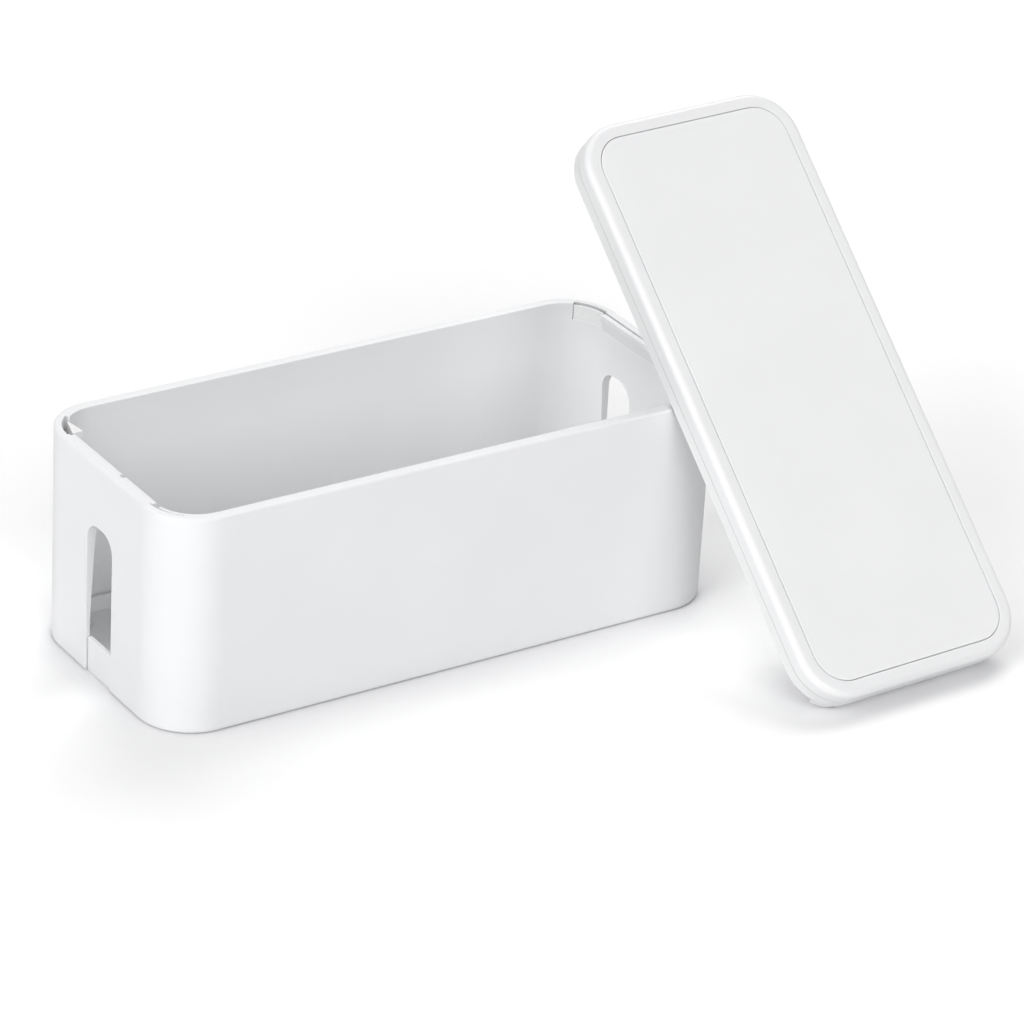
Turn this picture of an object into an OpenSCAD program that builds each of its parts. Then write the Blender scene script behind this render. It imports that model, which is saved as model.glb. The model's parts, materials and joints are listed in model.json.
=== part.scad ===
// Cable management box.
// A rounded tub with a screwed-in base tray, a ledge along each end of its rim, a clip in
// each corner pocket, and a lid in two halves with a panel set into it.
// The origin is the centre of the box's footprint, on the plane of its underside and pads.
// X runs along the box, Y to its back, Z up.
// The lid is drawn taken off: it stands on the floor and leans on the front edge of the rim.

/* [Box] */
// Outside length of the box
box_l = 320; // [280:5:400]
// Outside depth of the box
box_w = 137; // [125:1:170]
// Height of the box without its lid
box_h = 115; // [100:1:150]
// Outside radius of the upright corners
corner_r = 28; // [26:1:32]
// Thickness of the shell's walls
wall = 2.2; // [1.8:0.1:3]
// Rounding of the shell's outer edge at the floor
foot_fillet = 1.2; // [0.6:0.1:1.6]

/* [Rim] */
// Width of the flat rim
rim_w = 6.2; // [5.8:0.1:7]
// Height of the rim's upright inner face
rim_lip = 11; // [10.5:0.5:18]
// Height over which the walls thin from rim to foot
rim_taper = 74; // [40:1:80]
// Rounding of the rim's outer edge
rim_fillet = 1.3; // [1:0.1:2.2]
// Rounding of the small edges along the rim and the ledges
edge_fillet = 0.5; // [0.3:0.1:0.8]

/* [Cable slots] */
// Width of the slot in each end wall
slot_w = 25; // [21:0.5:27]
// How far the right end's slot lies behind the middle
right_slot_back = 28; // [0:1:40]
// Height of the slot's top above the shell's foot
slot_top = 83; // [60:0.2:84]
// Radius of the slot's upper corners
slot_r = 10; // [4:0.5:12]
// Height of the tab that closes the foot of the slot
tab_h = 18.6; // [14:0.2:30]
// Thickness of the tab
tab_t = 2.4; // [2:0.1:3]
// How far the tab stands back from the end wall's face
tab_setback = 1.2; // [0.6:0.1:1.4]

/* [Base tray] */
// Thickness of the floor
floor_t = 2.4; // [2:0.1:3.2]
// Height and width of the sloped upstand round the floor
upstand_h = 5; // [3:0.5:5.5]
// Thickness of the upstand's top edge
upstand_t = 1.8; // [1.5:0.1:2.2]
// Height of the tray's screw bosses
tray_boss_h = 9; // [8.8:0.1:12]
// Radius of the tray's screw bosses
tray_boss_r = 7.5; // [7:0.1:8]
// Distance of each base screw from its corner's centre
boss_reach = 16.5; // [13:0.5:17]

/* [Pads] */
// Radius of a rubber pad
pad_r = 6; // [4.5:0.1:6.2]
// Thickness of a rubber pad, which lies flush in its recess
pad_t = 2.2; // [1.6:0.1:2.6]

/* [Base screws] */
// Height of the shell's screw bosses
shell_boss_h = 16; // [14:1:20]
// Radius of the shell's screw bosses
shell_boss_r = 4; // [3.2:0.1:5]
// Thickness of the web from boss to wall
web_t = 2; // [1.6:0.1:3]
// Radius of the screw's shank
screw_r = 1.45; // [1.2:0.05:1.8]
// Length of the shank below the head
screw_l = 16; // [12:0.5:18]
// Radius of the screw's head
head_r = 3; // [2.6:0.1:3.4]
// Thickness of the screw's head
head_t = 2; // [1.6:0.1:2.2]

/* [End ledges] */
// Distance from the end wall's face to the ledge
ledge_from = 4.8; // [4.4:0.1:5.2]
// Width of the ledge's top
ledge_w = 3.3; // [2.6:0.1:4]
// Height of the ledge
ledge_h = 9.4; // [7:0.1:10]
// Height of the ledge's upright inner face; below it the ledge slopes back to the wall
ledge_lip = 2.4; // [1.6:0.2:4]
// How far the ledge and the clips lie below the rim
ledge_drop = 0.8; // [0.3:0.1:1]
// Width of the notch in the ledge
notch_w = 3.6; // [3:0.1:6]
// Distance of the notch from the middle of the end
notch_off = 9; // [0:0.5:20]
// Thickness of the ledge left behind the notch
notch_web = 1; // [0.8:0.1:1.5]

/* [Corner pockets] */
// Radius of the pocket's outer wall
pocket_r = 24.2; // [24:0.1:24.4]
// Depth of the pocket below the rim
pocket_d = 9; // [8:0.5:10.5]
// Angle the pocket covers, from the end wall round the corner
pocket_angle = 50; // [46:1:60]
// Outer radius of the curved clips
clip_r = 22.4; // [22.2:0.05:22.5]
// Thickness of the front left clip's bar, which stands in past the rim
bar_t = 1.8; // [1.2:0.1:2]
// Angle at which the front left clip's bar begins
bar_from = 12; // [2:1:20]
// Thickness of the rear right clip's lip, which is nearly flush with the wall
lip_t = 0.8; // [0.7:0.1:1.4]
// Angle left open between a clip and each end of its pocket
clip_seam = 1; // [0.8:0.1:2]
// Thickness of the clip's foot
clip_foot_t = 1.6; // [1.2:0.1:2.4]
// Thickness of the wedge-shaped heads
wedge_t = 3; // [2:0.2:4]
// Width of a wedge-shaped head at its base
wedge_w = 5.6; // [4:0.2:8]

/* [Lid] */
// How far the lid's sides stand in from the box's
lid_setback = 3; // [2.6:0.1:3.2]
// Overall height of the lid
lid_h = 16; // [14.5:0.5:22]
// Height of the lid's parting line
lid_base_h = 7; // [5:0.5:8]
// Thickness of the lid's sides
lid_wall = 2.2; // [1.8:0.1:3]
// Thickness of the lid's floor and of the plate under the panel
lid_plate_t = 1.8; // [1.4:0.1:2.2]
// Rounding of the lid's upper edge
lid_fillet = 3.4; // [2:0.2:4]
// Rounding of the lid's lower edge
lid_foot_fillet = 1; // [0.6:0.1:1]
// Width of the border from the lid's side to the groove
lid_border = 8; // [6.5:0.5:12]
// Width of the groove round the panel
groove_w = 0.4; // [0.3:0.1:1]
// Thickness of the panel
panel_t = 2.4; // [1.6:0.1:3]
// How far the lid's lower half stands in at the parting line
parting_step = 0.4; // [0.1:0.1:0.4]
// Rounding of the lid's edges along the groove
seam_fillet = 0.4; // [0.2:0.1:0.6]
// Rounding of the lid's edges along the parting line
parting_fillet = 0.7; // [0.3:0.1:0.9]
// Overlap of the two halves above the parting line
lap_h = 2; // [1:0.2:3]
// Thickness of the overlap
lap_t = 1.4; // [1:0.1:2]
// Height of the tongues and keys under the lid
tongue_h = 3; // [2:0.2:4]
// Thickness of a tongue
tongue_t = 1; // [0.9:0.1:1.1]

/* [Lid screws] */
// Radius of the lid screw's shank
lid_screw_r = 1.25; // [1:0.05:1.4]
// Radius of the lid screw's countersunk head
lid_head_r = 2.9; // [2.4:0.1:3.2]
// Height of the lid screw's head
lid_head_t = 1.3; // [1:0.1:1.4]
// Radius of the cover's screw bosses
lid_boss_r = 3.6; // [2.8:0.1:4.5]
// Distance from the lid's middle to its end screws
lid_screw_x = 126; // [90:1:130]
// Distance from the lid's middle line to its screws
lid_screw_y = 46; // [25:1:48]

/* [Leaning lid] */
// Angle of the lid from upright
lean = 47; // [35:1:60]
// Turn of the lid about the upright axis
lean_yaw = 2; // [0:1:20]
// How far the lid's middle stands past the box's end
lean_past = 27; // [-40:1:30]
// Gap between the lid's underside and the rim
lean_gap = 0.3; // [0.2:0.1:1]

/* [Fits] */
// Clearance between parts that drop into each other
fit = 0.15; // [0.1:0.05:0.25]
// Clearance round the tabs, tongues and keys
loose_fit = 0.3; // [0.2:0.05:0.35]
// Radial clearance of a screw in its clearance hole
hole_fit = 0.25; // [0.15:0.05:0.4]
// Radial clearance of a screw in its boss
pilot_fit = 0.05; // [0.02:0.01:0.1]

/* [Hidden] */
$fn = 96;
eps = 0.5;
corner_x = box_l / 2 - corner_r;
corner_y = box_w / 2 - corner_r;
rim_inner_r = corner_r - rim_w;
right_slot_y = min(right_slot_back, corner_y - slot_w / 2 - edge_fillet / 2);
ledge_top = box_h - ledge_drop;
ledge_floor = ledge_top - ledge_h;
pocket_floor = box_h - pocket_d;
notch_from = ledge_from + fit + notch_web;
pocket_open = 2;
wedge_reach = 2.4;
wedge_foot_from = 5;
wedge_inset = 1.2;
wedge_tip_angle = 38;
wedge_tip_t = 0.6;

tray_inset = wall + fit;
tray_l = box_l - 2 * tray_inset;
tray_w = box_w - 2 * tray_inset;
tray_r = corner_r - tray_inset;
boss_base = tray_boss_h;
head_gap = 0.4;
head_seat = pad_t + head_gap + head_t;
boss_cap = 2;
pilot_top = boss_base + shell_boss_h - boss_cap;

lid_l = box_l - 2 * lid_setback;
lid_w = box_w - 2 * lid_setback;
lid_r = corner_r - lid_setback;
skirt_l = lid_l - 2 * parting_step;
skirt_w = lid_w - 2 * parting_step;
skirt_r = lid_r - parting_step;
panel_seat = lid_h - panel_t;
plate_under = panel_seat - lid_plate_t;
panel_l = lid_l - 2 * (lid_border + groove_w);
panel_w = lid_w - 2 * (lid_border + groove_w);
panel_r = lid_r - lid_border - groove_w;
panel_edge_w = 4;
lap_r = lid_r - lid_wall - fit;
lid_screw_gap = 1;
tongue_r = pocket_r - loose_fit;
tongue_from = 12;
tongue_to = pocket_angle - 6;
key_from = notch_from + loose_fit;
key_to = ledge_from + ledge_w;
key_w = notch_w - 2 * loose_fit;

slope = 90 - lean;
lid_normal = [sin(lean_yaw) * cos(lean), -cos(lean_yaw) * cos(lean), sin(lean)];
// The lid stands on whichever is lower at its foot: the tongues' tips or the rounded edge.
stand_on_edge = (skirt_l / 2 - lid_foot_fillet) * sin(slope) + lid_foot_fillet * (1 - cos(slope));
stand_on_tongue = (corner_x + tongue_r * cos(tongue_from)) * sin(slope) + tongue_h * cos(slope);
lean_z = max(stand_on_edge, stand_on_tongue);
lean_x = box_l / 2 + lean_past;
// Distance of the rim's rounded edge along the lid's normal, at the corner it leans on.
rim_reach = corner_x * lid_normal[0] - corner_y * lid_normal[1]
  + (box_h - rim_fillet) * lid_normal[2] + (corner_r - rim_fillet) * cos(lean) + rim_fillet;
lean_y = (rim_reach + lean_gap - lid_normal[0] * lean_x - lid_normal[2] * lean_z) / lid_normal[1];

corners = [[-1, -1], [1, -1], [1, 1], [-1, 1]];

// ---- shared shapes ----

// Sweeps a profile round a rounded rectangle: x is the radius at the corners, y is height.
module ring(l, w, r) {
  cx = l / 2 - r;
  cy = w / 2 - r;
  for (i = [0:3]) {
    sx = (i == 0 || i == 3) ? 1 : -1;
    sy = (i < 2) ? 1 : -1;
    translate([sx * cx, sy * cy, 0])
      rotate([0, 0, 90 * i])
        rotate_extrude(angle = 90)
          children();
  }
  for (turn = [0, 180]) {
    rotate([0, 0, turn]) {
      translate([cx, cy, 0])
        rotate([90, 0, 0])
          linear_extrude(2 * cy)
            children();
      translate([-cx, cy, 0])
        rotate([90, 0, 90])
          linear_extrude(2 * cx)
            children();
    }
  }
}

// A flat plate with round corners, standing on z = 0.
module plate(l, w, r, h) {
  linear_extrude(h) {
    square([l - 2 * r, w], center = true);
    square([l, w - 2 * r], center = true);
    for (sx = [-1, 1], sy = [-1, 1])
      translate([sx * (l / 2 - r), sy * (w / 2 - r)])
        circle(r);
  }
}

// What is cut from a profile to round the corner at p; sx and sy point out of the corner.
module edge_cut(p, r, sx, sy) {
  translate([p[0] - sx * r, p[1] - sy * r])
    difference() {
      translate([sx > 0 ? 0 : -2 * r, sy > 0 ? 0 : -2 * r])
        square(2 * r);
      circle(r);
    }
}

// Draws its children at a corner's centre, with +X towards the end and +Y towards the side.
module at_corner(c) {
  translate([c[0] * corner_x, c[1] * corner_y, 0])
    mirror([c[0] < 0 ? 1 : 0, 0, 0])
      mirror([0, c[1] < 0 ? 1 : 0, 0])
        children();
}

// A block bent round the corner's centre, from one angle and radius to another.
module sector(r_in, r_out, from, to, z, h) {
  translate([0, 0, z])
    rotate([0, 0, from])
      rotate_extrude(angle = to - from)
        translate([r_in, 0])
          square([r_out - r_in, h]);
}

// The distance out along a corner's diagonal at which the base screws stand.
module at_boss(c) {
  at_corner(c)
    rotate([0, 0, 45])
      translate([boss_reach, 0, 0])
        children();
}

// Two crossed slots of a screw's drive, cut upwards from z = 0.
module drive_slots(r, deep) {
  for (a = [0, 90])
    rotate([0, 0, a])
      translate([-0.62 * r, -0.13 * r, -eps])
        cube([1.24 * r, 0.26 * r, deep + eps]);
}

// ---- box ----

module shell_profile() {
  difference() {
    polygon([
      [corner_r - wall, 0], [corner_r, 0], [corner_r, box_h], [rim_inner_r, box_h],
      [rim_inner_r, box_h - rim_lip], [corner_r - wall, box_h - rim_lip - rim_taper]
    ]);
    edge_cut([corner_r, box_h], rim_fillet, 1, 1);
    edge_cut([rim_inner_r, box_h], edge_fillet, -1, 1);
    edge_cut([corner_r, 0], foot_fillet, 1, -1);
  }
}

// How far the slot of one end lies from the middle; the left end is a half turn away.
function slot_y(turn) = turn == 0 ? right_slot_y : 0;

// The cable slot's outline, open at the floor, cut through one end wall.
module slot_cut() {
  straight = slot_top - slot_r;
  rotate([90, 0, 90])
    linear_extrude(rim_w + 2 * eps) {
      translate([-slot_w / 2, -eps])
        square([slot_w, straight + eps]);
      translate([-slot_w / 2 + slot_r, 0])
        square([slot_w - 2 * slot_r, slot_top]);
      for (side = [-1, 1])
        translate([side * (slot_w / 2 - slot_r), straight])
          circle(slot_r);
    }
}

module body_shell() {
  color("whitesmoke")
    difference() {
      union() {
        ring(box_l, box_w, corner_r)
          shell_profile();
        for (c = corners) {
          at_boss(c)
            translate([0, 0, boss_base])
              cylinder(h = shell_boss_h, r = shell_boss_r);
          at_boss(c)
            translate([0, -web_t / 2, boss_base])
              cube([corner_r - wall - boss_reach + eps, web_t, shell_boss_h]);
        }
      }
      for (c = corners) {
        at_boss(c)
          translate([0, 0, boss_base - eps])
            cylinder(h = pilot_top - boss_base + eps, r = screw_r + pilot_fit);
        at_corner(c)
          sector(rim_inner_r - pocket_open, pocket_r, 0, pocket_angle, pocket_floor, pocket_d + eps);
      }
      for (turn = [0, 180])
        rotate([0, 0, turn]) {
          translate([box_l / 2 - rim_w - eps, slot_y(turn), 0])
            slot_cut();
          translate([box_l / 2 - rim_w - eps, -corner_y, ledge_floor])
            cube([rim_w - ledge_from + eps, 2 * corner_y, ledge_h + ledge_drop + eps]);
        }
    }
}

module upstand_profile() {
  inner = tray_r - upstand_t - upstand_h;
  polygon([
    [inner - eps, 0], [tray_r, 0], [tray_r, floor_t + upstand_h],
    [tray_r - upstand_t, floor_t + upstand_h], [inner, floor_t], [inner - eps, floor_t]
  ]);
}

module end_tab() {
  tab_w = slot_w - 2 * loose_fit;
  translate([box_l / 2 - tab_setback - tab_t, tab_w / 2, 0])
    rotate([90, 0, 0])
      linear_extrude(tab_w)
        difference() {
          square([tab_t, tab_h]);
          edge_cut([tab_t, tab_h], edge_fillet, 1, 1);
          edge_cut([0, tab_h], edge_fillet, -1, 1);
        }
}

module base_tray() {
  color("gainsboro")
    difference() {
      union() {
        plate(tray_l - 2 * upstand_t, tray_w - 2 * upstand_t, tray_r - upstand_t, floor_t);
        ring(tray_l, tray_w, tray_r)
          upstand_profile();
        for (turn = [0, 180])
          rotate([0, 0, turn])
            translate([0, slot_y(turn), 0])
              end_tab();
        for (c = corners)
          at_boss(c)
            cylinder(h = tray_boss_h, r = tray_boss_r);
      }
      for (c = corners)
        at_boss(c) {
          translate([0, 0, -eps])
            cylinder(h = pad_t + eps, r = pad_r + fit);
          translate([0, 0, -eps])
            cylinder(h = head_seat + eps, r = head_r + hole_fit);
          translate([0, 0, -eps])
            cylinder(h = tray_boss_h + 2 * eps, r = screw_r + hole_fit);
        }
    }
}

// One end's ledge, drawn for the right end; the left one is turned half round. notch_side
// puts its notch behind the middle (1) or before it (-1).
module end_ledge(notch_side) {
  half_l = corner_y - fit;
  outer = box_l / 2 - ledge_from - fit;
  inner = box_l / 2 - ledge_from - ledge_w;
  seat = box_l / 2 - rim_w;
  color("whitesmoke")
    difference() {
      translate([0, half_l, 0])
        rotate([90, 0, 0])
          linear_extrude(2 * half_l)
            difference() {
              polygon([
                [outer, ledge_floor], [seat, ledge_floor], [inner, ledge_top - ledge_lip],
                [inner, ledge_top], [outer, ledge_top]
              ]);
              edge_cut([inner, ledge_top], edge_fillet, -1, 1);
              edge_cut([outer, ledge_top], edge_fillet, 1, 1);
            }
      translate([inner - eps, notch_side * notch_off - notch_w / 2, ledge_floor - eps])
        cube([box_l / 2 - notch_from - inner + eps, notch_w, ledge_h + 2 * eps]);
    }
}

module left_end_ledge() {
  rotate([0, 0, 180])
    end_ledge(1);
}

module right_end_ledge() {
  end_ledge(-1);
}

// A clip's foot lies on the pocket's floor. A curved bar of that thickness stands with it
// and takes in the foot's inner edge.
module curved_clip(c, thick, from) {
  to = pocket_angle - clip_seam;
  color("white")
    at_corner(c) {
      sector(clip_r - thick / 2, pocket_r - fit, clip_seam, to, pocket_floor, clip_foot_t);
      sector(clip_r - thick, clip_r, from, to, pocket_floor, ledge_top - pocket_floor);
    }
}

// The other clips carry a leg with a wedge-shaped head that reaches in past the rim.
module wedge_clip(c) {
  leg_in = rim_inner_r - wedge_reach;
  color("white")
    at_corner(c) {
      sector(leg_in, pocket_r - fit, wedge_foot_from, pocket_angle - clip_seam,
        pocket_floor, clip_foot_t);
      translate([0, 0, pocket_floor])
        linear_extrude(ledge_top - pocket_floor)
          difference() {
            wedge_outline();
            circle(leg_in);
          }
      translate([0, 0, ledge_top - wedge_t])
        linear_extrude(wedge_t)
          wedge_outline();
    }
}

// The wedge's outline: its base beside the end ledge, its tip at the rim's inner edge.
module wedge_outline() {
  base_out = rim_inner_r - wedge_inset;
  tip = [rim_inner_r * cos(wedge_tip_angle), rim_inner_r * sin(wedge_tip_angle)];
  polygon([
    [base_out - wedge_w, wedge_inset], [base_out, wedge_inset], tip,
    [tip[0] - wedge_tip_t, tip[1] - wedge_tip_t / 2]
  ]);
}

module front_left_clip() {
  curved_clip(corners[0], bar_t, bar_from);
}

module front_right_clip() {
  wedge_clip(corners[1]);
}

module rear_right_clip() {
  curved_clip(corners[2], lip_t, clip_seam);
}

module rear_left_clip() {
  wedge_clip(corners[3]);
}

module pad(c) {
  color("gray")
    at_boss(c)
      cylinder(h = pad_t, r = pad_r);
}

module base_screws() {
  color("silver")
    for (c = corners)
      at_boss(c)
        difference() {
          union() {
            translate([0, 0, head_seat - head_t])
              cylinder(h = head_t, r = head_r);
            translate([0, 0, head_seat - eps])
              cylinder(h = screw_l - 2 * screw_r + eps, r = screw_r);
            translate([0, 0, head_seat + screw_l - 2 * screw_r])
              cylinder(h = 2 * screw_r, r1 = screw_r, r2 = 0.3 * screw_r);
          }
          translate([0, 0, head_seat - head_t])
            drive_slots(head_r, head_t / 2);
        }
}

// ---- lid, drawn flat with its underside on z = 0 ----

// Stands the flat lid on the floor and leans its underside on the rim.
module leaning() {
  translate([lean_x, lean_y, lean_z])
    rotate([0, 0, lean_yaw + 90])
      rotate([0, -slope, 0])
        children();
}

module at_lid_screws() {
  for (ix = [-1, 0, 1], sy = [-1, 1])
    translate([ix * lid_screw_x, sy * lid_screw_y, 0])
      children();
}

module lid_cover_profile() {
  difference() {
    polygon([
      [lid_r - lid_wall, lid_base_h], [lid_r, lid_base_h], [lid_r, lid_h],
      [lid_r - lid_border, lid_h], [lid_r - lid_border, plate_under],
      [lid_r - lid_wall, plate_under]
    ]);
    edge_cut([lid_r, lid_h], lid_fillet, 1, 1);
    edge_cut([lid_r, lid_base_h], parting_fillet, 1, -1);
    edge_cut([lid_r - lid_border, lid_h], seam_fillet, -1, 1);
  }
}

module lid_cover() {
  color("white")
    leaning()
      difference() {
        union() {
          ring(lid_l, lid_w, lid_r)
            lid_cover_profile();
          translate([0, 0, plate_under])
            plate(lid_l - 2 * lid_border + 2 * eps, lid_w - 2 * lid_border + 2 * eps,
              lid_r - lid_border + eps, lid_plate_t);
          at_lid_screws()
            translate([0, 0, lid_plate_t])
              cylinder(h = panel_seat - 2 * lid_plate_t, r = lid_boss_r);
        }
        at_lid_screws()
          translate([0, 0, lid_plate_t - eps])
            cylinder(h = plate_under - lid_plate_t + eps, r = lid_screw_r + pilot_fit);
      }
}

module lid_panel() {
  color("whitesmoke")
    leaning()
      translate([0, 0, panel_seat]) {
        ring(panel_l, panel_w, panel_r)
          difference() {
            translate([panel_r - panel_edge_w, 0])
              square([panel_edge_w, panel_t]);
            edge_cut([panel_r, panel_t], seam_fillet, 1, 1);
          }
        plate(panel_l - 2 * panel_edge_w + 2 * eps, panel_w - 2 * panel_edge_w + 2 * eps,
          panel_r - panel_edge_w + eps, panel_t);
      }
}

module lid_base_profile() {
  difference() {
    polygon([
      [lap_r - lap_t, 0], [skirt_r, 0], [skirt_r, lid_base_h], [lap_r, lid_base_h],
      [lap_r, lid_base_h + lap_h], [lap_r - lap_t, lid_base_h + lap_h]
    ]);
    edge_cut([skirt_r, 0], lid_foot_fillet, 1, -1);
    edge_cut([skirt_r, lid_base_h], parting_fillet, 1, 1);
  }
}

module lid_base() {
  color("whitesmoke")
    leaning()
      difference() {
        union() {
          ring(skirt_l, skirt_w, skirt_r)
            lid_base_profile();
          plate(skirt_l - 2 * lid_wall, skirt_w - 2 * lid_wall, skirt_r - lid_wall, lid_plate_t);
          for (c = corners)
            at_corner(c)
              sector(tongue_r - tongue_t, tongue_r, tongue_from, tongue_to,
                -tongue_h, tongue_h + lid_plate_t / 2);
          for (end = [[0, -1], [180, 1]])
            rotate([0, 0, end[0]])
              translate([box_l / 2 - key_to, end[1] * notch_off - key_w / 2, -tongue_h])
                cube([key_to - key_from, key_w, tongue_h + lid_plate_t / 2]);
        }
        at_lid_screws() {
          translate([0, 0, -eps])
            cylinder(h = lid_plate_t + 2 * eps, r = lid_screw_r + hole_fit);
          translate([0, 0, -eps])
            cylinder(h = eps, r = lid_head_r + hole_fit);
          cylinder(h = lid_head_t, r1 = lid_head_r + hole_fit, r2 = lid_screw_r + hole_fit);
        }
      }
}

module lid_screws() {
  color("silver")
    leaning()
      at_lid_screws()
        difference() {
          union() {
            cylinder(h = lid_head_t, r1 = lid_head_r, r2 = lid_screw_r);
            cylinder(h = plate_under - lid_screw_gap, r = lid_screw_r);
          }
          drive_slots(lid_head_r, lid_head_t / 2);
        }
}

body_shell();
base_tray();
left_end_ledge();
right_end_ledge();
front_left_clip();
front_right_clip();
rear_right_clip();
rear_left_clip();
pad(corners[0]);  // front_left_pad
pad(corners[1]);  // front_right_pad
pad(corners[2]);  // rear_right_pad
pad(corners[3]);  // rear_left_pad
base_screws();
lid_base();
lid_cover();
lid_panel();
lid_screws();
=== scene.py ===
import json
import math
import bpy
from mathutils import Matrix, Vector


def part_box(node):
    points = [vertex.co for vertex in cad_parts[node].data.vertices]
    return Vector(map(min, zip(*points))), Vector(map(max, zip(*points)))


# The looks of a cable management box: a white moulded tub with its lid leaning on the rim.
# Everything is in metres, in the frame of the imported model: X along the box, Y to its back, Z up.

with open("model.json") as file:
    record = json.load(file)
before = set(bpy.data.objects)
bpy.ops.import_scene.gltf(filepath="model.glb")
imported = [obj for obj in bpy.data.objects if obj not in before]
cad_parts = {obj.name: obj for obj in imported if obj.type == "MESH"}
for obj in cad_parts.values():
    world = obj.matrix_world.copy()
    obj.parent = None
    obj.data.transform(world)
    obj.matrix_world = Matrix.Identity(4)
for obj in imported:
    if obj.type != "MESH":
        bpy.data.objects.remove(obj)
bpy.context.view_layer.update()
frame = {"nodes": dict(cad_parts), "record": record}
nodes = frame["nodes"]

MM = 0.001
IMAGE = 1024

# moulded plastic: sizes of its lumps, and how far its tone and gloss wander
TONE_SIZE = 60 * MM
TONE_SHADE = 0.975
GLOSS_SIZE = 9 * MM
GLOSS_SPREAD = 0.05
WAVE_SIZE = 28 * MM
WAVE_DEPTH = 0.12 * MM
# painted shade in the box's seams and along the lid's parting line, and a painted highlight on all
# outer
# edges: how far to look, the factor there, and where that fades out
BOX_CREVICE_SHADE = (4 * MM, 0.62, (0.25, 0.80))
PARTING_LINE_SHADE = (1.5 * MM, 0.55, (0.80, 0.99))
EDGE_HIGHLIGHT = (0.9 * MM, 1.10, (0.45, 0.90))
# the rays sent out each time a material looks around itself
NEARNESS_RAYS = 8


# ---- materials ----

class Graph:
    """A material's nodes, made and joined in order."""

    def __init__(self, name):
        self.material = bpy.data.materials.new(name)
        self.material.use_nodes = True
        self.tree = self.material.node_tree
        self.shader = self.tree.nodes["Principled BSDF"]
        self.place = self.node("ShaderNodeTexCoord").outputs["Object"]

    def node(self, kind, **settings):
        made = self.tree.nodes.new(kind)
        for key, value in settings.items():
            setattr(made, key, value)
        return made

    def link(self, source, target):
        self.tree.links.new(source, target)

    def noise(self, size, detail=2.0, roughness=0.5, stretch=(1, 1, 1)):
        """Noise whose lumps are about size metres across."""
        mapping = self.node("ShaderNodeMapping")
        mapping.inputs["Scale"].default_value = [s / size for s in stretch]
        self.link(self.place, mapping.inputs["Vector"])
        made = self.node("ShaderNodeTexNoise")
        made.inputs["Scale"].default_value = 1.0
        made.inputs["Detail"].default_value = detail
        made.inputs["Roughness"].default_value = roughness
        self.link(mapping.outputs["Vector"], made.inputs["Vector"])
        return made.outputs["Fac"]

    def remap(self, source, low, high, start=0.3, end=0.7):
        made = self.node("ShaderNodeMapRange")
        made.inputs["From Min"].default_value = start
        made.inputs["From Max"].default_value = end
        made.inputs["To Min"].default_value = low
        made.inputs["To Max"].default_value = high
        self.link(source, made.inputs["Value"])
        return made.outputs["Result"]

    def blend(self, factor, first, second):
        made = self.node("ShaderNodeMix", data_type="RGBA")
        made.inputs["A"].default_value = (*first, 1)
        made.inputs["B"].default_value = (*second, 1)
        self.link(factor, made.inputs["Factor"])
        return made.outputs["Result"]

    def nearness(self, reach, inside=False):
        """1 on open faces and less in crevices, or less on outer edges when it looks inside."""
        made = self.node("ShaderNodeAmbientOcclusion", samples=NEARNESS_RAYS, inside=inside)
        made.inputs["Distance"].default_value = reach
        return made.outputs["AO"]

    def shading(self, reach, factor, span, inside=False):
        """That factor in crevices, or on outer edges when it looks inside, and 1 elsewhere."""
        return self.remap(self.nearness(reach, inside), factor, 1, *span)

    def scaled(self, colour, factor):
        made = self.node("ShaderNodeVectorMath", operation="SCALE")
        self.link(colour, made.inputs[0])
        self.link(factor, made.inputs["Scale"])
        return made.outputs["Vector"]

    def bump(self, height, depth, under=None):
        """Adds a bump of that depth in metres, on top of an earlier one."""
        made = self.node("ShaderNodeBump")
        made.inputs["Strength"].default_value = 1.0
        made.inputs["Distance"].default_value = depth
        self.link(height, made.inputs["Height"])
        if under is not None:
            self.link(under, made.inputs["Normal"])
        return made.outputs["Normal"]


def moulded_plastic(name, colour, roughness, grain, grain_depth, crevice_shade=None):
    """White injection-moulded plastic: a fine grain, slow flow marks and a faint change of tone,
    with painted shade in its crevices, where it has any, and a painted highlight on its outer edges."""
    g = Graph(name)
    shade = [c * TONE_SHADE for c in colour]
    tone = g.remap(g.noise(TONE_SIZE, detail=3), 0, 1)
    # painted highlight: the colour is raised on outer edges, where looking inside finds the surface
    # close
    skin = g.scaled(g.blend(tone, colour, shade), g.shading(*EDGE_HIGHLIGHT, inside=True))
    # painted shade: the colour is darkened in crevices, where nearby surfaces close it in
    if crevice_shade:
        skin = g.scaled(skin, g.shading(*crevice_shade))
    g.link(skin, g.shader.inputs["Base Color"])
    patches = g.noise(GLOSS_SIZE, detail=4, roughness=0.6)
    gloss = g.remap(patches, roughness - GLOSS_SPREAD, roughness + GLOSS_SPREAD)
    g.link(gloss, g.shader.inputs["Roughness"])
    waves = g.bump(g.noise(WAVE_SIZE, detail=1, stretch=(1, 1, 0.5)), WAVE_DEPTH)
    fine = g.bump(g.noise(grain, detail=3, roughness=0.65), grain_depth, under=waves)
    g.link(fine, g.shader.inputs["Normal"])
    g.shader.inputs["IOR"].default_value = 1.49
    g.shader.inputs["Specular IOR Level"].default_value = 0.5
    return g.material


def rubber(name, colour):
    """Grey rubber with a fine pebbled surface."""
    g = Graph(name)
    dust = g.remap(g.noise(3 * MM, detail=5), 0, 1, 0.45, 0.75)
    g.link(g.blend(dust, colour, [c * 1.5 for c in colour]), g.shader.inputs["Base Color"])
    pebbles = g.noise(0.5 * MM, detail=2)
    g.link(g.remap(pebbles, 0.7, 0.9), g.shader.inputs["Roughness"])
    g.link(g.bump(pebbles, 0.06 * MM), g.shader.inputs["Normal"])
    return g.material


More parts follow.
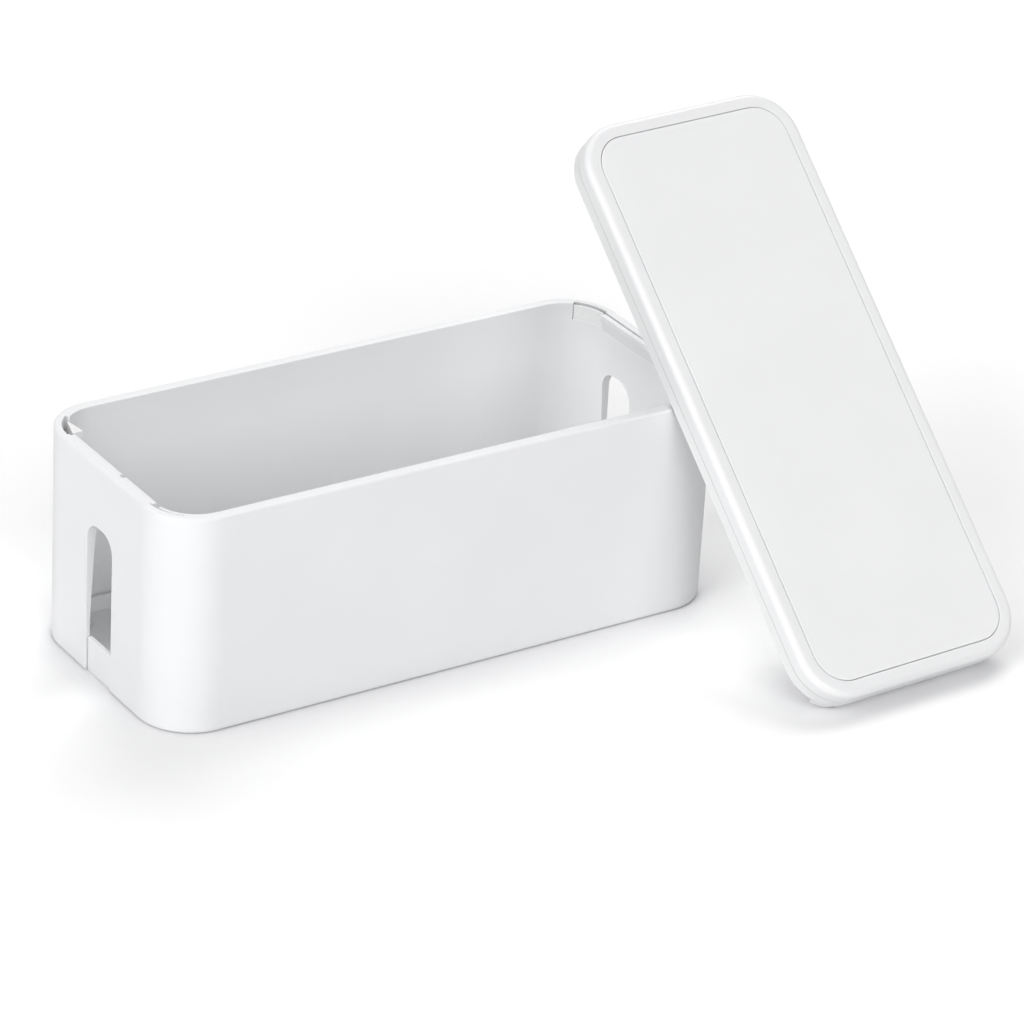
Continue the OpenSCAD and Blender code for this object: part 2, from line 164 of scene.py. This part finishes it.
def plated_steel(name, colour):
    """Zinc-plated steel, brushed round by the tool that turned it."""
    g = Graph(name)
    lines = g.noise(0.35 * MM, detail=2, stretch=(1, 1, 0.1))
    g.link(g.blend(lines, colour, [c * 0.8 for c in colour]), g.shader.inputs["Base Color"])
    g.link(g.remap(lines, 0.25, 0.45), g.shader.inputs["Roughness"])
    g.link(g.bump(lines, 0.01 * MM), g.shader.inputs["Normal"])
    g.shader.inputs["Metallic"].default_value = 1.0
    return g.material


BOX_WHITE = (0.87, 0.875, 0.885)
TRIM_WHITE = (0.88, 0.88, 0.88)
LID_WHITE = (0.86, 0.863, 0.87)
SHELL = moulded_plastic("shell_plastic", BOX_WHITE, 0.42, 0.45 * MM, 0.010 * MM, BOX_CREVICE_SHADE)
TRAY = moulded_plastic("tray_plastic", BOX_WHITE, 0.48, 0.45 * MM, 0.012 * MM, BOX_CREVICE_SHADE)
TRIM = moulded_plastic("trim_plastic", TRIM_WHITE, 0.30, 0.8 * MM, 0.004 * MM, BOX_CREVICE_SHADE)
LID = moulded_plastic("lid_plastic", LID_WHITE, 0.36, 0.45 * MM, 0.008 * MM)
# the lid's lower half: the same plastic with painted shade along its parting line
LID_LOWER = moulded_plastic("lid_lower_plastic", LID_WHITE, 0.36, 0.45 * MM, 0.008 * MM, PARTING_LINE_SHADE)
PANEL = moulded_plastic("panel_plastic", (0.87, 0.873, 0.88), 0.50, 0.35 * MM, 0.014 * MM)
RUBBER = rubber("pad_rubber", (0.10, 0.10, 0.105))
STEEL = plated_steel("screw_steel", (0.62, 0.62, 0.63))

FINISHES = {
    "shell_plastic": SHELL, "tray_plastic": TRAY, "trim_plastic": TRIM, "lid_plastic": LID,
    "panel_plastic": PANEL, "pad_rubber": RUBBER, "screw_steel": STEEL,
}
# a node whose material differs from that of its slot: the same lid plastic with painted shade along
# the parting line
OWN_MATERIALS = {"lid_base": LID_LOWER}


def dress_nodes():
    """Gives each CAD node the material of its slot in the record, or its own."""
    for sub in frame["record"]["subparts"]:
        node = nodes[sub["node"]]
        node.data.materials.clear()
        node.data.materials.append(OWN_MATERIALS.get(sub["node"], FINISHES[sub["material_slot"]]))


dress_nodes()


# ---- floor ----

FLOOR_HALF = 12.0
FLOOR_DROP = 0.2 * MM
FLOOR_COLOUR = (0.93, 0.93, 0.93)
FLOOR_GLOW = 0.18
# painted contact shadow: how far it reaches, where it is deepest and where it ends, its colour and
# its dimmed glow
CONTACT_REACH = 40 * MM
CONTACT_DEEP, CONTACT_OPEN = 0.50, 0.97
CONTACT_SHADE = (0.80, 0.80, 0.81)
CONTACT_GLOW, OPEN_GLOW = (0.3, 0.3, 0.3), (1, 1, 1)


def white_floor():
    """A wide pale floor just under the box. The camera sees it a little brighter than the
    object does, so that it fades into the white behind. It keeps the lamps' shadow, and painted
    shade darkens its colour and glow where something stands close to it."""
    half = FLOOR_HALF
    mesh = bpy.data.meshes.new("studio_floor")
    corners = [(-half, -half, 0), (half, -half, 0), (half, half, 0), (-half, half, 0)]
    mesh.from_pydata(corners, [], [(0, 1, 2, 3)])
    floor = bpy.data.objects.new("studio_floor", mesh)
    floor.location.z = -FLOOR_DROP
    bpy.context.scene.collection.objects.link(floor)
    g = Graph("studio_floor")
    # painted contact shadow: 0 close to things, 1 in the open
    open_air = g.remap(g.nearness(CONTACT_REACH), 0, 1, CONTACT_DEEP, CONTACT_OPEN)
    g.link(g.blend(open_air, CONTACT_SHADE, FLOOR_COLOUR), g.shader.inputs["Base Color"])
    glow = g.remap(g.node("ShaderNodeLightPath").outputs["Is Camera Ray"], 0, FLOOR_GLOW, 0, 1)
    g.link(g.blend(open_air, CONTACT_GLOW, OPEN_GLOW), g.shader.inputs["Emission Color"])
    g.link(glow, g.shader.inputs["Emission Strength"])
    g.shader.inputs["Roughness"].default_value = 0.9
    g.shader.inputs["Specular IOR Level"].default_value = 0.0
    mesh.materials.append(g.material)


white_floor()


# ---- light ----

SKY_LEVEL = 0.06
SUNS = {
    # name: (strength, direction that the light comes from, angular size in degrees)
    "front": (1.40, (-0.15, -0.85, 0.50), 40),
    "left": (1.35, (-0.85, -0.15, 0.50), 40),
    "upper_left": (0.36, (-0.60, -0.05, 0.80), 40),
    "behind": (1.42, (0.45, 0.45, 0.77), 40),
}


def studio_light():
    """A faint pale sky and four soft lamps around the object; the sky looks white to the camera."""
    world = bpy.data.worlds.new("studio")
    bpy.context.scene.world = world
    world.use_nodes = True
    tree = world.node_tree
    sky = tree.nodes["Background"]
    sky.inputs["Color"].default_value = (1, 1, 1, 1)
    sky.inputs["Strength"].default_value = SKY_LEVEL
    seen = tree.nodes.new("ShaderNodeBackground")
    seen.inputs["Color"].default_value = (1, 1, 1, 1)
    seen.inputs["Strength"].default_value = 1.0
    path = tree.nodes.new("ShaderNodeLightPath")
    either = tree.nodes.new("ShaderNodeMath")
    either.operation = "MAXIMUM"
    most = tree.nodes.new("ShaderNodeMath")
    most.operation = "MAXIMUM"
    mix = tree.nodes.new("ShaderNodeMixShader")
    tree.links.new(path.outputs["Is Camera Ray"], either.inputs[0])
    tree.links.new(path.outputs["Is Glossy Ray"], either.inputs[1])
    tree.links.new(either.outputs[0], most.inputs[0])
    tree.links.new(path.outputs["Is Transmission Ray"], most.inputs[1])
    tree.links.new(most.outputs[0], mix.inputs["Fac"])
    tree.links.new(sky.outputs["Background"], mix.inputs[1])
    tree.links.new(seen.outputs["Background"], mix.inputs[2])
    tree.links.new(mix.outputs["Shader"], tree.nodes["World Output"].inputs["Surface"])
    for name, (strength, source, size) in SUNS.items():
        lamp = bpy.data.lights.new(name, "SUN")
        lamp.energy = strength
        lamp.angle = math.radians(size)
        sun = bpy.data.objects.new(name, lamp)
        sun.rotation_mode = "QUATERNION"
        sun.rotation_quaternion = Vector(source).to_track_quat("Z", "Y")
        bpy.context.scene.collection.objects.link(sun)


studio_light()


# ---- camera ----

def photo_camera():
    """The photograph's view: a long lens, from the front left and above, rolled a little."""
    azimuth = math.radians(-33.757)
    elevation = math.radians(27.436)
    roll = math.radians(3.158)
    distance = 2.4124
    aside, above = 0.0451, -0.0086
    focal_px = 5265.4
    zoom = 0.925
    move_px = (-38, 18)
    tub_low, tub_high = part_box("body_shell")
    middle = (tub_low + tub_high) / 2
    back = Vector((
        math.sin(azimuth) * math.cos(elevation),
        -math.cos(azimuth) * math.cos(elevation),
        math.sin(elevation),
    ))
    right = Vector((math.cos(azimuth), math.sin(azimuth), 0))
    up = back.cross(right)
    data = bpy.data.cameras.new("photo_camera")
    data.sensor_width = 36
    data.lens = focal_px * zoom / IMAGE * data.sensor_width
    data.shift_x = -move_px[0] / IMAGE
    data.shift_y = move_px[1] / IMAGE
    data.clip_start = 0.05
    data.clip_end = 100
    camera = bpy.data.objects.new("photo_camera", data)
    rolled_right = math.cos(roll) * right + math.sin(roll) * up
    rolled_up = math.cos(roll) * up - math.sin(roll) * right
    turn = Matrix((rolled_right, rolled_up, back)).transposed()
    place = middle + distance * back + aside * right + above * up
    camera.matrix_world = Matrix.Translation(place) @ turn.to_4x4()
    bpy.context.scene.collection.objects.link(camera)
    bpy.context.scene.camera = camera


photo_camera()

bpy.context.scene.view_settings.view_transform = "Standard"
